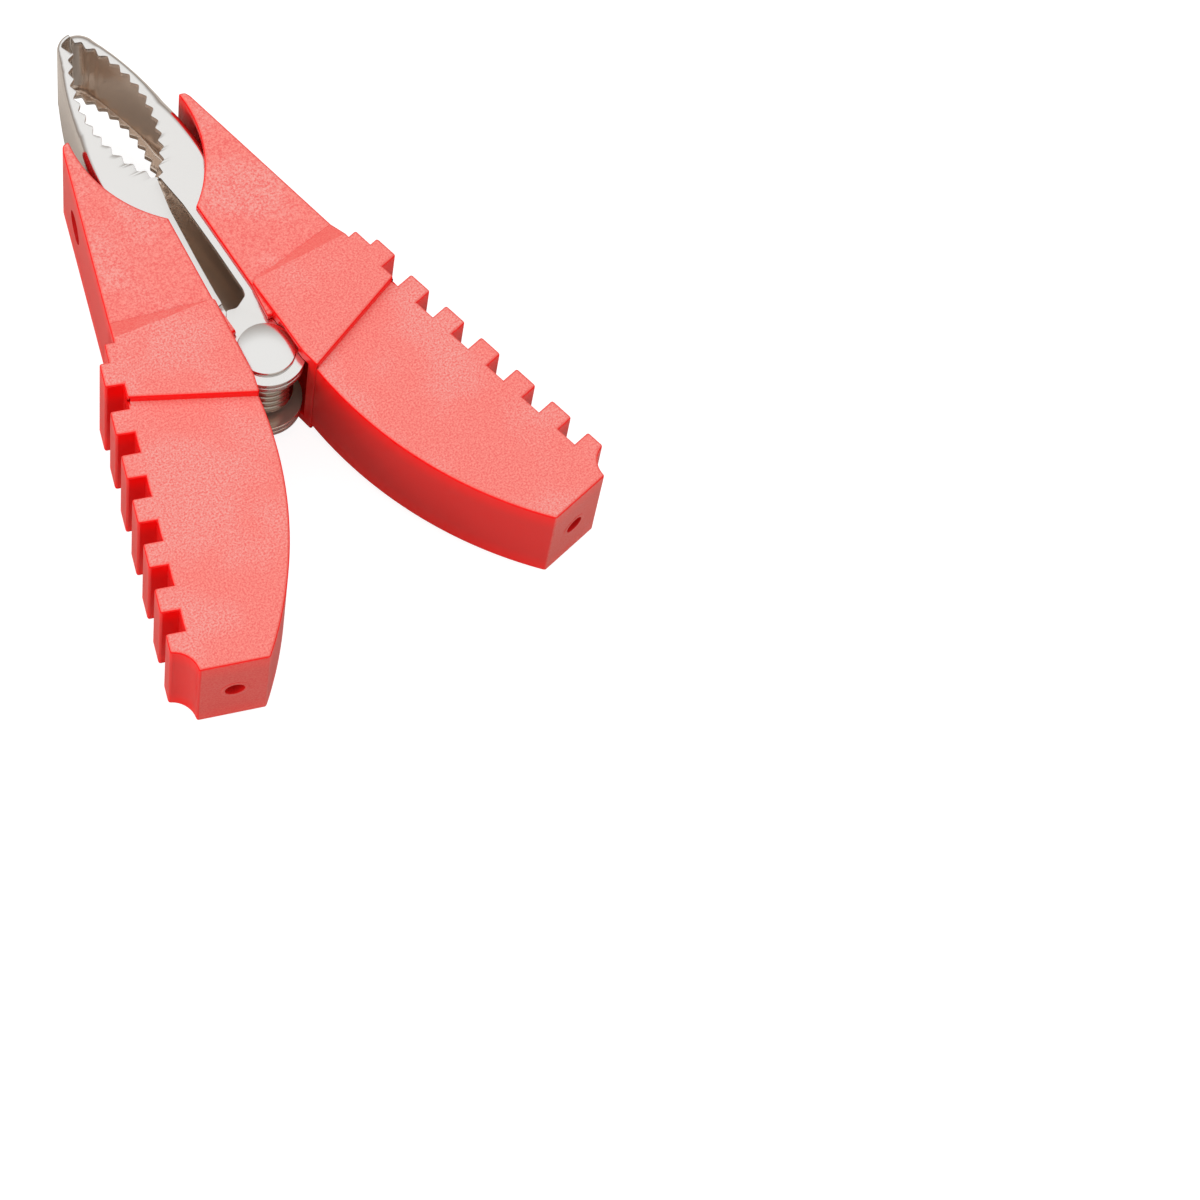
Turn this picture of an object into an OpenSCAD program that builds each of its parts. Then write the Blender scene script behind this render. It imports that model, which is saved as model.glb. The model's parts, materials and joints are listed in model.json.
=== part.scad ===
// Fully insulated crocodile clip, lying on its side: X across the handles,
// Y from the handle ends to the jaw tips, Z up along the pivot.
// Shapes are drawn about the pivot and the clip's middle plane, for the right half,
// and the whole clip is then lifted so that its collars rest on z = 0.

/* [Jaws] */
// Pivot to the tip of the jaws
jaw_length = 50.6; // [48:0.2:54]
// Height of the channel that each jaw is folded into
jaw_height = 12.8; // [12:0.2:12.8]
// Thickness of the sheet
sheet = 0.8; // [0.6:0.1:0.9]
// Spacing of the gripping teeth
bite_pitch = 1.85; // [1.6:0.05:2.2]
// Depth of the gripping teeth
bite_depth = 0.75; // [0.4:0.05:0.9]
// Greatest half width of the mouth between the toothed edges
mouth_half = 3.95; // [3:0.05:4.2]

/* [Handles] */
// Lean of each toothed grip away from the long axis
grip_angle = 15.6; // [13:0.1:17]
// Thickness of a handle at its collar, the thickest place
collar_height = 16.4; // [16.2:0.1:18]
// Thickness of the grip behind the collar
grip_height = 14.1; // [13.6:0.1:15]
// Thickness of the nose in front of the collar
nose_height = 14.8; // [14.6:0.1:15.4]
// Wall of the mouldings
wall = 1.6; // [1.2:0.1:1.8]
// Pivot to the flat end of the grip, along the grip
grip_reach = 39.8; // [38:0.2:42]
// Pivot line to the foot of the finger teeth, across the grip
grip_width = 17.75; // [17:0.05:18.5]

/* [Finger teeth] */
// Spacing of the finger teeth
tooth_pitch = 5.95; // [5.6:0.05:6]
// Length of each finger tooth
tooth_length = 3.25; // [2.6:0.05:3.6]
// How far a finger tooth stands out
tooth_height = 2.3; // [1.5:0.1:2.6]

/* [Pivot] */
// Diameter of the rivet's shank
shank_d = 3.2; // [2.8:0.1:3.4]
// Diameter of the rivet's domed head
head_d = 7.2; // [6:0.1:7.4]
// Radius of the round ears of the jaws
ear_r = 4.85; // [4.4:0.05:4.9]

/* [Spring] */
// Wire of the spring
wire_d = 1.2; // [0.8:0.1:1.2]
// Mean radius of the coil
coil_r = 3; // [2.6:0.1:3.2]
// Whole turns of the coil
coil_turns = 5; // [3:1:5]

/* [Openings] */
// Diameter of the cable hole in each handle's end
cable_hole_d = 2.5; // [2:0.1:4]
// Diameter of the hole in the back of each nose
side_hole_d = 4.4; // [3:0.1:5]

/* [Hidden] */

right = 1;
left = -1;
gap = 0.1;                      // play between pieces of one half
running = 0.05;                 // radial play of the turning ears on the shank
past = 1;                       // how far a cutter runs past what it cuts

// The nose of a handle
crease_out = [15.2, 11.4];      // where the nose's back meets the ramp
crease_apex = [2.5, 8.3];       // where the ramp dies out at the inner edge
ramp_foot = [15.9, 9];          // outer end of the ramp, on the collar
nose_back = [8.8, 35.3];        // front end of the nose's straight back
nose_tip = [7, 36.35];
scallop_start = [1.9, 21.2];
scallop_c = [-9.6, 34];         // centre of the hollow that bares the metal
scallop_r = 17.3;
nose_wall = 1.25;
back_lean = atan2(crease_out[0] - nose_back[0], nose_back[1] - crease_out[1]);
side_hole_y = 28.9;
ledge_y = 3.6;                  // rear end of the low ledge beside the collar

// The collar and the grip; "grip frame" is u along the grip, v across it
step_in = [6.2, 2.31];          // inner end of the step behind the collar, grip frame
step_out = [3.75, grip_width];  // outer end of that step, grip frame
bulge_u = 13.5;                 // where the inner face bulges most
bulge_v = 1.8;
bulge_r = 52.3;                 // radius of that face
first_tooth_u = 4.6;
teeth = 6;                      // on the grip; two more stand on the collar
half_tooth_u = -3.9;            // start of the low tooth at the front of the collar
half_tooth_h = 1.15;
cove_r = 2.95;
end_wall = 3.4;                 // wall that the cable hole passes through
cable_v = 12.9;                 // cable hole, across the grip

// The pivot
dome_h = 1.15;
head_pocket_r = head_d / 2 + 0.2;
head_pocket_h = 1.05;           // pocket for the head, under the skin of the collar
washer_t = 0.5;
washer_r = 3.3;
clench_r = 2.5;
clench_h = 0.8;
cheek_z = jaw_height / 2;       // outer face of the cheeks and of the outer ears
inner_ear_z = cheek_z - sheet - gap;
ear_socket_r = ear_r + 0.3;

// The jaws
tip_r = 2.6;
tip_c = [0, jaw_length - tip_r];
back_c = [-57.6, 23.9];         // centre of the long back curve
back_r = 65;
back_from = 22.6;               // angles on that curve, tip end and handle end
back_to = 3.6;
seam = 0.05;                    // each half stops this short of the middle
mouth_rear_y = 27;
mouth_front_y = jaw_length - 1.3;
mouth_mid_y = (mouth_rear_y + mouth_front_y) / 2;
mouth_chord = (mouth_front_y - mouth_rear_y) / 2;
mouth_r = (mouth_chord * mouth_chord + mouth_half * mouth_half) / (2 * mouth_half);
neck_r = 7.2;                   // outer ears reach this far past the middle line
joggle_r = 7.5;                 // inner ears step outwards beyond this radius
joggle_w = 1.1;
tail_v = 9.7;                   // outer face of the tail, grip frame
tail_half = 4;
tail_end_u = 31;
crimp_from_u = 24.5;
tail_ribs_u = [14.5, 20.5];     // where ribs in the handle hold the tail
rib = 1.2;
crimp_h = 2.6;

// The spring
leg_angle = 40;                 // lean of each leg away from the long axis
leg_length = 13.3;
coil_steps = 16;                // rings in a turn
wire_sides = 8;
coil_sweep = 360 * coil_turns + 180 - 2 * leg_angle;
coil_half_z = (cheek_z - 2 * sheet - gap) - wire_d - 0.2;

// Placing: the box around the clip is centred on the origin and rests on z = 0
end_y = -grip_reach * cos(grip_angle) + end_inner_v() * sin(grip_angle);
centre_y = (jaw_length + end_y) / 2;

// Height of the inner face of the grip above the pivot line, at the flat end
function end_inner_v() =
    bulge_v + bulge_r - sqrt(bulge_r * bulge_r - pow(grip_reach - bulge_u, 2));

// Points on a circle of radius r about c, from angle a to angle b, in n steps
function arc(c, r, a, b, n) =
    [for (i = [0:n]) c + r * [cos(a + (b - a) * i / n), sin(a + (b - a) * i / n)]];

module placed() translate([0, -centre_y, collar_height / 2]) children();
module on(side) mirror([side < 0 ? 1 : 0, 0, 0]) children();
module grip_frame() rotate([0, 0, grip_angle - 90]) children();
module slab(height) linear_extrude(height, center = true) children();

// Both cheeks at once: what is drawn at the top is repeated below the middle plane
module both_cheeks() {
    children();
    mirror([0, 0, 1]) children();
}

// ---- Jaws ----

// Plan of a jaw from tip to tail, its back drawn in by inset
module jaw_plan(inset, inner_x) {
    polygon(concat(
        [[inner_x, jaw_length - inset]],
        arc(tip_c, tip_r - inset, 84, back_from, 6),
        arc(back_c, back_r - inset, back_from, back_to, 8),
        [[8.7 - inset, 14], [10.05 - inset, -0.3], [8.6, -1.4 - 2 * inset],
         [5, -1 - 2 * inset], [inner_x, -1 - 2 * inset]]));
}

// The toothed mouth: an arc on the right of the middle, notched along its length
module mouth_plan() {
    notch_n = floor(2 * mouth_r * asin(mouth_chord / mouth_r) * PI / 180 / bite_pitch);
    centre = [mouth_half - mouth_r, mouth_mid_y];
    intersection() {
        union() {
            translate(centre) circle(mouth_r - bite_depth / 2, $fn = 160);
            for (i = [0:notch_n - 1])
                translate(centre)
                    rotate((i - (notch_n - 1) / 2) * bite_pitch / mouth_r * 180 / PI)
                        translate([mouth_r - bite_depth / 2, 0])
                            polygon([[-past, -bite_pitch / 2 - past],
                                     [0, -bite_pitch / 2 + 0.12],
                                     [bite_depth, -0.12], [bite_depth, 0.12],
                                     [0, bite_pitch / 2 - 0.12],
                                     [-past, bite_pitch / 2 + past]]);
        }
        translate([-past, mouth_rear_y]) square([mouth_half + 2, mouth_front_y - mouth_rear_y]);
    }
}

// Gap at the tip of the left jaw, ahead of its first bite tooth
module tip_notch() {
    both_cheeks()
        translate([0, 0, cheek_z - sheet - gap]) linear_extrude(sheet + past)
            polygon([[-past, 47.9], [1.1, 47.9], [1.7, 49.2], [0.8, 49.9], [-past, 50.1]]);
}

// The slot between the two jaws from the mouth back to the ears
module window_plan() {
    polygon([[-past, mouth_rear_y + past], [0.2, mouth_rear_y + past], [0.2, mouth_rear_y],
             [0.9, 22.5], [1.35, 15], [1.6, 9], [1.3, 7.9], [-past, 6.9]]);
}

module tail() {
    grip_frame() {
        translate([1.5, tail_v - sheet, -tail_half])
            cube([tail_end_u - 1.5, sheet, 2 * tail_half]);
        both_cheeks()
            translate([crimp_from_u, tail_v - sheet / 2, tail_half - sheet])
                cube([tail_end_u - crimp_from_u, crimp_h, sheet]);
    }
}

// The folded channel with its mouth and window cut, before the ears
module jaw_channel() {
    difference() {
        slab(jaw_height) jaw_plan(0, seam);
        slab(jaw_height - 2 * sheet) jaw_plan(sheet, -past);
        slab(jaw_height + past) mouth_plan();
        slab(jaw_height + past) window_plan();
        slab(jaw_height + past) circle(joggle_r, $fn = 96);
    }
    tail();
}

// The outer jaw: flat ears in line with its cheeks
module jaw_right() placed() color([0.85, 0.85, 0.83]) on(right) {
    difference() {
        union() {
            jaw_channel();
            both_cheeks()
                translate([0, 0, cheek_z - sheet]) linear_extrude(sheet) {
                    circle(ear_r, $fn = 96);
                    intersection() {
                        circle(joggle_r + past, $fn = 96);
                        difference() {
                            jaw_plan(0, 0);
                            window_plan();
                        }
                    }
                    intersection() {
                        circle(neck_r, $fn = 96);
                        polygon([[-1.5, 6.7], [0, 6.9], [1.3, 7.9], [9, 7.9], [9, -1], [-4.4, 1]]);
                    }
                }
        }
        cylinder(h = jaw_height + past, r = shank_d / 2 + running, center = true, $fn = 64);
    }
}

// The inner jaw: its ears are stepped inwards by a sheet's thickness
module jaw_left() placed() color([0.8, 0.8, 0.78]) on(left) {
    ear_top = inner_ear_z;
    difference() {
        union() {
            difference() {
                jaw_channel();
                both_cheeks()
                    translate([0, 0, cheek_z - 2 * sheet])
                        cylinder(h = 2 * sheet + past, r = joggle_r + joggle_w / 2, $fn = 96);
                tip_notch();
            }
            both_cheeks() {
                translate([0, 0, ear_top - sheet]) cylinder(h = sheet, r = ear_r, $fn = 96);
                difference() {
                    translate([0, 0, ear_top - sheet]) linear_extrude(cheek_z - ear_top + sheet)
                        difference() {
                            jaw_plan(gap, 0);
                            window_plan();
                        }
                    translate([0, 0, ear_top]) cylinder(h = 2, r = joggle_r, $fn = 96);
                    translate([0, 0, ear_top - 2])
                        difference() {
                            cylinder(h = 5, r = 80, $fn = 96);
                            translate([0, 0, -past])
                                cylinder(h = 7, r = joggle_r + joggle_w, $fn = 96);
                        }
                }
            }
        }
        cylinder(h = jaw_height + past, r = shank_d / 2 + running, center = true, $fn = 64);
    }
}

// ---- Handles ----

module nose_plan() {
    difference() {
        polygon([scallop_start, crease_apex, [2.2, ledge_y], [6, ledge_y], [15, 9.4],
                 crease_out, nose_back, [8.45, 36], nose_tip]);
        translate(scallop_c) circle(scallop_r, $fn = 128);
    }
}

module collar_plan() {
    polygon([crease_apex, [3, 1.7], [3.3, -2.9], to_clip(step_in), to_clip(step_out),
             ramp_foot]);
    grip_frame() {
        translate([half_tooth_u, 14])
            square([first_tooth_u - tooth_pitch - half_tooth_u + past,
                    grip_width - 14 + half_tooth_h]);
        translate([first_tooth_u - tooth_pitch, 14])
            square([tooth_length, grip_width - 14 + tooth_height]);
    }
}

// A point of the grip frame, in the clip's own frame
function to_clip(p) =
    [p[0] * sin(grip_angle) + p[1] * cos(grip_angle),
     -p[0] * cos(grip_angle) + p[1] * sin(grip_angle)];

// Grip in its own frame: a bowed inner face, finger teeth and a hollow at the last one
module grip_plan() {
    intersection() {
        translate([bulge_u, bulge_v + bulge_r]) circle(bulge_r, $fn = 256);
        difference() {
            union() {
                polygon([step_in, [grip_reach, 0], [grip_reach, grip_width],
                         [step_out[0] - past, grip_width], [step_in[0] - past, step_in[1]]]);
                for (i = [0:teeth - 2])
                    translate([first_tooth_u + i * tooth_pitch, 14])
                        square([tooth_length, grip_width - 14 + tooth_height]);
                translate([first_tooth_u + (teeth - 1) * tooth_pitch, 14])
                    square([grip_reach - first_tooth_u - (teeth - 1) * tooth_pitch,
                            grip_width - 14 + tooth_height]);
            }
            translate([grip_reach, grip_width + tooth_height + 0.2]) circle(cove_r, $fn = 64);
        }
    }
}

// Wedge that brings the nose up to the collar; it narrows to nothing at the inner edge
module ramp() {
    low = nose_height / 2;
    high = collar_height / 2;
    hull() {
        translate([0, 0, low - past]) linear_extrude(past)
            polygon([crease_apex, crease_out, ramp_foot]);
        translate([0, 0, low]) linear_extrude(high - low)
            polygon([crease_apex, ramp_foot, ramp_foot - [0.4, 0.4]]);
    }
}

module handle_cavity() {
    // Room for the folded jaw, open towards the middle
    slab(jaw_height + 2 * gap) {
        lean = [nose_wall * cos(back_lean), nose_wall * sin(back_lean)];
        polygon([[-past, 40], nose_back - lean + [-0.27, 1] * 4,
                 crease_out - lean, [13.4, 8], [-past, 8]]);
        grip_frame()
            polygon([[-9, -3], [-9, 14], [-7, grip_width - wall], [2.7, grip_width - wall],
                     [4.9, 2.6], [2, -3]]);
        circle(ear_socket_r, $fn = 96);
    }
    // Room for the tail and the cable
    slab(grip_height - 2 * wall) grip_frame()
        intersection() {
            translate([bulge_u, bulge_v + bulge_r]) circle(bulge_r - wall, $fn = 256);
            translate([1, 0]) square([grip_reach - end_wall - 1, grip_width - wall]);
        }
}

// Ribs across the grip that hold the tail by both its faces
module tail_ribs() {
    intersection() {
        slab(2 * tail_half) grip_frame() grip_plan();
        grip_frame() for (u = tail_ribs_u) {
            translate([u, 0, -tail_half]) cube([rib, tail_v - sheet, 2 * tail_half]);
            translate([u, tail_v, -grip_height / 2])
                cube([rib, grip_width - tail_v, grip_height]);
        }
    }
}

module handle() {
    tail_ribs();
    difference() {
        union() {
            slab(nose_height) nose_plan();
            slab(collar_height) collar_plan();
            slab(grip_height) grip_frame() grip_plan();
            both_cheeks() ramp();
        }
        handle_cavity();
        both_cheeks()
            translate([0, 0, cheek_z]) cylinder(h = head_pocket_h, r = head_pocket_r, $fn = 96);
        grip_frame()
            translate([grip_reach - 5, cable_v, 0]) rotate([0, 90, 0])
                cylinder(h = 5 + past, r = cable_hole_d / 2, $fn = 48);
        translate([crease_out[0] - (side_hole_y - crease_out[1]) * tan(back_lean), side_hole_y, 0])
            rotate([0, 90, back_lean])
                cylinder(h = 5, r = side_hole_d / 2, center = true, $fn = 64);
    }
}

module handle_right() placed() color([0.92, 0.16, 0.14]) on(right) handle();
module handle_left() placed() color([0.92, 0.16, 0.14]) on(left) handle();

// ---- Pivot ----

// Shank with a domed head above and a clenched end below
module pivot_rivet() placed() color([0.88, 0.88, 0.86]) {
    dome_r = (head_d * head_d / 4 + dome_h * dome_h) / (2 * dome_h);
    foot = -cheek_z - running - washer_t;
    translate([0, 0, foot - clench_h])
        cylinder(h = cheek_z + running - foot + clench_h, r = shank_d / 2, $fn = 64);
    intersection() {
        translate([0, 0, cheek_z + running + dome_h - dome_r]) sphere(dome_r, $fn = 96);
        translate([0, 0, cheek_z + running]) cylinder(h = dome_h + past, r = head_d / 2, $fn = 96);
    }
    translate([0, 0, foot - clench_h]) cylinder(h = clench_h, r = clench_r, $fn = 64);
}

module rivet_washer() placed() color([0.75, 0.75, 0.73])
    translate([0, 0, -cheek_z - running - washer_t])
        difference() {
            cylinder(h = washer_t, r = washer_r, $fn = 64);
            translate([0, 0, -past])
                cylinder(h = washer_t + 2 * past, r = shank_d / 2 + running, $fn = 64);
        }

// ---- Spring ----

// Place along the wire at s, which runs 0 to 1 down the first leg, round the coil
// from 1 to 2, and out along the second leg from 2 to 3
function wire_at(s) =
    let (t = min(max(s - 1, 0), 1),
         a = 180 - leg_angle - coil_sweep * t,
         on_coil = coil_r * [cos(a), sin(a)],
         leg = s < 1 ? (1 - s) : (s > 2 ? s - 2 : 0),
         out = [(s < 1 ? -1 : 1) * sin(leg_angle), -cos(leg_angle)])
    [for (v = concat(on_coil + leg * leg_length * out, [coil_half_z * (2 * t - 1)])) v];

function unit(v) = v / norm(v);

// Ring of the wire at s: round the wire's own direction, level side first
function wire_ring(s) =
    let (e = 0.002,
         d = unit(wire_at(min(s + e, 3)) - wire_at(max(s - e, 0))),
         side = unit(cross(d, [0, 0, 1])),
         up = cross(side, d))
    [for (i = [0:wire_sides - 1])
        wire_at(s) + wire_d / 2 * (side * cos(360 * i / wire_sides) + up * sin(360 * i / wire_sides))];

module torsion_spring() placed() color([0.45, 0.43, 0.42]) {
    coil_rings = round(coil_sweep / 360 * coil_steps);
    stations = concat([0, 0.5, 0.98], [for (i = [0:coil_rings]) 1 + i / coil_rings], [2.02, 2.5, 3]);
    rings = [for (s = stations) wire_ring(s)];
    n = wire_sides;
    last = len(rings) - 1;
    polyhedron(
        points = [for (r = rings) for (p = r) p],
        faces = concat(
            [[for (i = [0:n - 1]) i]],
            [for (k = [0:last - 1]) for (i = [0:n - 1])
                [k * n + i, (k + 1) * n + i, (k + 1) * n + (i + 1) % n, k * n + (i + 1) % n]],
            [[for (i = [n - 1:-1:0]) last * n + i]]));
}

jaw_left();
jaw_right();
handle_left();
handle_right();
pivot_rivet();
rivet_washer();
torsion_spring();
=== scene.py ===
# Fully insulated alligator clip: red moulded handles over plated, sprung jaws.
import json
import math

import bmesh
import bpy
import numpy as np
from mathutils import Matrix, Vector


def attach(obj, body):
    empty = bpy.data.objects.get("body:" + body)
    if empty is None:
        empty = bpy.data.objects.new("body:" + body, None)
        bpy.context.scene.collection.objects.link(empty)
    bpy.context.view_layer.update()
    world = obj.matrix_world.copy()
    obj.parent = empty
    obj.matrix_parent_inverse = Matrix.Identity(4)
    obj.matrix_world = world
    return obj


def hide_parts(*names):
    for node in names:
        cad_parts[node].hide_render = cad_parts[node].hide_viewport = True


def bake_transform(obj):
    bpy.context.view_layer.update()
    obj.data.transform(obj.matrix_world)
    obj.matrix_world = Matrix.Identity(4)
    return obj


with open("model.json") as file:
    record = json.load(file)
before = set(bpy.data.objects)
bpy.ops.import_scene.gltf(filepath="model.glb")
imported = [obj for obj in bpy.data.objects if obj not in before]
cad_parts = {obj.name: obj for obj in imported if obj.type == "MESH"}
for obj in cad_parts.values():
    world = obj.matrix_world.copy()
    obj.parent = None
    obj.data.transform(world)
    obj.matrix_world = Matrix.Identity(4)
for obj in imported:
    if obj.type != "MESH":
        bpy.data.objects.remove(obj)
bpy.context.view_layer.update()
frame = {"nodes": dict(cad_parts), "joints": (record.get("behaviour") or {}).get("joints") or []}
print("frame loaded")

# Shapes are drawn in millimetres about the pivot, for the right half
pivot = np.array(frame["joints"][0]["pos_m"])
halves = {"right": 1.0, "left": -1.0}
clip = {
    "gripAngle": math.radians(15.6),
    "cheekZ": 6.4,  # outer face of a jaw's cheek, above the middle plane
    "sheet": 0.8,
    "earR": 4.85,
    "shankR": 1.6,
}


# Smooth step: 0 below low, 1 above high, 3t^2 - 2t^3 between
def smooth(x, low, high):
    t = np.clip((np.asarray(x, float) - low) / (high - low), 0, 1)
    return t * t * (3 - 2 * t)


# Points of a circle about centre from angle a to b in degrees, n points
def arc(centre, radius, a, b, n):
    t = np.radians(np.linspace(a, b, n))
    return np.stack([centre[0] + radius * np.cos(t), centre[1] + radius * np.sin(t)], 1)


# u along the grip and v across it, turned by the grip's angle into x and y
def gripPoint(u, v):
    s, c = math.sin(clip["gripAngle"]), math.cos(clip["gripAngle"])
    u, v = np.asarray(u, float), np.asarray(v, float)
    return np.stack([u * s + v * c, -u * c + v * s], -1)


# Distance along a polyline at each of its points: the running sum of its steps
def distances(line):
    steps = np.linalg.norm(np.diff(line, axis=0), axis=1)
    return np.concatenate([[0], np.cumsum(steps)])


# The points of a polyline at the given distances along it
def atDistance(line, where):
    d = distances(line)
    return np.stack([np.interp(where, d, line[:, i]) for i in range(line.shape[1])], 1)


# A piece from points in millimetres about the pivot: mirrored for the left half,
# turned so that its volume is positive, and shaded smooth up to a sharp angle
def makePiece(name, points, faces, side=1.0, sharp=35):
    points = np.asarray(points, float) * [side, 1, 1]
    volume = 0.0
    for f in faces:
        p = points[np.asarray(f)]
        if p.ndim == 2:
            p = p[None]
        for k in range(1, p.shape[1] - 1):
            volume += np.einsum("ij,ij->", p[:, 0], np.cross(p[:, k], p[:, k + 1]))
    if volume < 0:
        faces = [np.asarray(f)[..., ::-1] for f in faces]
    polygons = []
    for f in faces:
        polygons += [list(map(int, q)) for q in np.atleast_2d(f)]
    mesh = bpy.data.meshes.new(name)
    mesh.from_pydata((points * 0.001 + pivot).tolist(), [], polygons)
    mesh.validate()
    mesh.shade_smooth()
    mesh.set_sharp_from_angle(angle=math.radians(sharp))
    piece = bpy.data.objects.new(name, mesh)
    bpy.context.scene.collection.objects.link(piece)
    return piece


# Quads of a grid of rows by columns, joined round across either if asked
def gridFaces(rows, columns, wrapRows=False, wrapColumns=False):
    r = np.arange(rows if wrapRows else rows - 1)
    c = np.arange(columns if wrapColumns else columns - 1)
    r, c = np.meshgrid(r, c, indexing="ij")
    nextR, nextC = (r + 1) % rows, (c + 1) % columns
    corners = [r * columns + c, r * columns + nextC, nextR * columns + nextC, nextR * columns + c]
    return np.stack(corners, -1).reshape(-1, 4)


# A closed tube of loops, one row a loop, with a flat face over each end
def loopsPiece(name, loops, side=1.0, sharp=35):
    rows, columns = loops.shape[:2]
    faces = [
        gridFaces(rows, columns, wrapColumns=True),
        np.arange(columns)[::-1],
        np.arange(columns) + (rows - 1) * columns,
    ]
    return makePiece(name, loops.reshape(-1, 3), faces, side, sharp)


# Unit vectors round a circle in the xy plane
def unitRing(segments):
    a = np.linspace(0, 2 * math.pi, segments, endpoint=False)
    return np.stack([np.cos(a), np.sin(a), np.zeros_like(a)], 1)


# A profile of radius and height turned about the pivot's axis, from pole to pole
def turnedPiece(name, profile, segments):
    profile = np.asarray(profile, float)
    around = profile[:, 0][:, None, None] * unitRing(segments)
    loops = around + profile[:, 1][:, None, None] * np.array([0, 0, 1.0])
    return loopsPiece(name, loops)


# A closed profile of radius and height turned into a ring, in axes of its own if given
def ringPiece(name, profile, side=1.0, origin=(0, 0, 0), axes=np.eye(3), segments=64):
    profile = np.asarray(profile, float)
    loops = unitRing(segments)[:, None, :] * profile[None, :, 0, None]
    loops = loops + profile[None, :, 1, None] * np.array([0, 0, 1.0])
    loops = loops @ np.asarray(axes, float) + np.asarray(origin, float)
    faces = [gridFaces(*loops.shape[:2], wrapRows=True, wrapColumns=True)]
    return makePiece(name, loops.reshape(-1, 3), faces, side)


# An outline moved inwards by amount, along the bisector at each corner
def inset(outline, amount):
    a = outline - np.roll(outline, 1, 0)
    b = np.roll(outline, -1, 0) - outline
    a /= np.linalg.norm(a, axis=1)[:, None]
    b /= np.linalg.norm(b, axis=1)[:, None]
    normalA, normalB = np.stack([-a[:, 1], a[:, 0]], 1), np.stack([-b[:, 1], b[:, 0]], 1)
    n = normalA + normalB
    n /= np.maximum(np.linalg.norm(n, axis=1), 0.3)[:, None]
    reach = np.clip((n * normalA).sum(1), 0.5, 1)
    return outline + n * (amount / reach)[:, None]


# A flat plate from an anticlockwise outline: quarter circles of radius edge round
# its two rims, each point of them an inset outline at its own height
def platePiece(name, outline, low, high, edge, side=1.0):
    turn = np.radians(np.linspace(90, 0, 4))
    steps = [(edge * (1 - math.cos(t)), high - edge * (1 - math.sin(t))) for t in turn]
    steps += [(edge * (1 - math.cos(t)), low + edge * (1 - math.sin(t))) for t in turn[::-1]]
    loops = []
    for amount, z in steps:
        flat = inset(outline, amount)
        loops.append(np.column_stack([flat, np.full(len(flat), z)]))
    return loopsPiece(name, np.array(loops), side)


# Handles: the CAD shape with its outer edges rounded
handle = {
    "rounding": 0.30,
    "steps": 3,
    "flat": 0.3,  # degrees between two faces of one flat
    "skin": 6.9,  # what lies farther than this from the middle plane is outside
    "softTurn": 9,  # degrees that still shade as one face on the outside
    "sharpTurn": 28,  # degrees from which an edge is rounded
    "bowAt": (13.5, 54.1),  # centre of the bowed inner face, along and across the grip
    "bowR": 52.3,
}


# Place of a vertex in millimetres about the pivot, as drawn for the right half
def drawn(vertex, side):
    p = (np.array(vertex.co) - pivot) * 1000
    return p * [side, 1, 1]


# The bowed inner face made finer: its long edges are split and put on its circle
def refineBow(shape, side):
    centre = gripPoint(*handle["bowAt"])
    found = []
    for edge in shape.edges:
        ends = [drawn(v, side) for v in edge.verts]
        off = [abs(np.linalg.norm(p[:2] - centre) - handle["bowR"]) for p in ends]
        level = abs(ends[0][2] - ends[1][2]) < 0.01
        if max(off) < 0.02 and level and edge.calc_length() > 0.0006:
            found.append(edge)
    made = bmesh.ops.subdivide_edges(shape, edges=found, cuts=4, use_grid_fill=True)
    for part in made["geom_inner"]:
        if isinstance(part, bmesh.types.BMVert):
            p = drawn(part, side)
            away = p[:2] - centre
            p[:2] = centre + away * handle["bowR"] / np.linalg.norm(away)
            part.co = p * [side, 1, 1] * 0.001 + pivot


# A CAD node with its loose triangles joined, its flat faces made whole, and its
# outer convex edges marked for rounding
def mergedCopy(node, name, side):
    shape = bmesh.new()
    shape.from_mesh(frame["nodes"][node].data)
    bmesh.ops.remove_doubles(shape, verts=shape.verts, dist=1e-7)
    bmesh.ops.dissolve_limit(
        shape,
        angle_limit=math.radians(handle["flat"]),
        verts=shape.verts,
        edges=shape.edges,
    )
    refineBow(shape, side)
    weight = shape.edges.layers.float.new("bevel_weight_edge")
    for edge in shape.edges:
        turn = math.degrees(edge.calc_face_angle(0))
        outside = min(abs(drawn(v, side)[2]) for v in edge.verts) > handle["skin"]
        edge.smooth = turn < (handle["softTurn"] if outside else handle["sharpTurn"])
        if outside and turn > handle["sharpTurn"] and edge.is_convex:
            edge[weight] = 1.0
    mesh = bpy.data.meshes.new(name)
    shape.to_mesh(mesh)
    shape.free()
    mesh.polygons.foreach_set("use_smooth", [True] * len(mesh.polygons))
    piece = bpy.data.objects.new(name, mesh)
    bpy.context.scene.collection.objects.link(piece)
    return piece


# Marked edges become arcs of the rounding's width; flats keep their own normals
def makeHandle(word, side):
    piece = mergedCopy(f"handle_{word}", f"handle_{word}_moulding", side)
    bevel = piece.modifiers.new("edges", "BEVEL")
    bevel.width = handle["rounding"] * 0.001
    bevel.segments = handle["steps"]
    bevel.limit_method = "WEIGHT"
    bevel.use_clamp_overlap = False
    bevel.miter_outer = "MITER_SHARP"
    even = piece.modifiers.new("even", "WEIGHTED_NORMAL")
    even.keep_sharp = True
    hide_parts(f"handle_{word}")
    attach(piece, f"{word}_half")
    return piece


handles = [makeHandle(word, side) for word, side in halves.items()]
print("handles made")

# The low lip round the cable hole in each handle's flat end
lip = {"u": 39.8, "v": 12.9, "hole": 1.25, "wide": 0.5, "high": 0.07, "inside": 0.3}


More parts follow.
